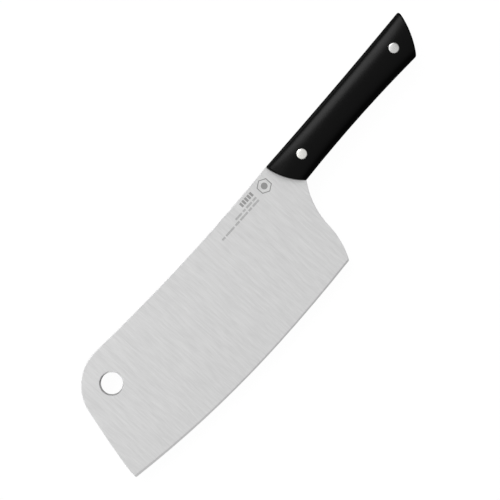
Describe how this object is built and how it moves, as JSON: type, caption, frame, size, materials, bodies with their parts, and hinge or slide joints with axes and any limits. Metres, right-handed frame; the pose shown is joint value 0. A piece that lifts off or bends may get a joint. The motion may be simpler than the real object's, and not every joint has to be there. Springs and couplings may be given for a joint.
{
  "type": "meat cleaver",
  "caption": "Full-tang meat cleaver with a deep tapered steel blade, a hanging hole near the front corner, and riveted black plastic handle scales.",
  "frame": {"origin": "centre of the footprint of the cleaver lying on its side, on the surface that it lies on", "axes": "+X along the handle towards its butt, +Y from the cutting edge towards the spine, +Z out of the blade's upper side"},
  "size_m": [0.3048, 0.078, 0.0188],
  "materials": {
    "blade_steel": "satin, brushed from spine to edge",
    "handle_plastic": "fine-grained satin moulding",
    "rivet_steel": "satin, turned"
  },
  "bodies": {
    "root": {"blade": "blade_steel", "upper_scale": "handle_plastic", "lower_scale": "handle_plastic", "front_rivet_pin": "rivet_steel", "front_rivet_sleeve": "rivet_steel", "rear_rivet_pin": "rivet_steel", "rear_rivet_sleeve": "rivet_steel"}
  },
  "joints": []
}
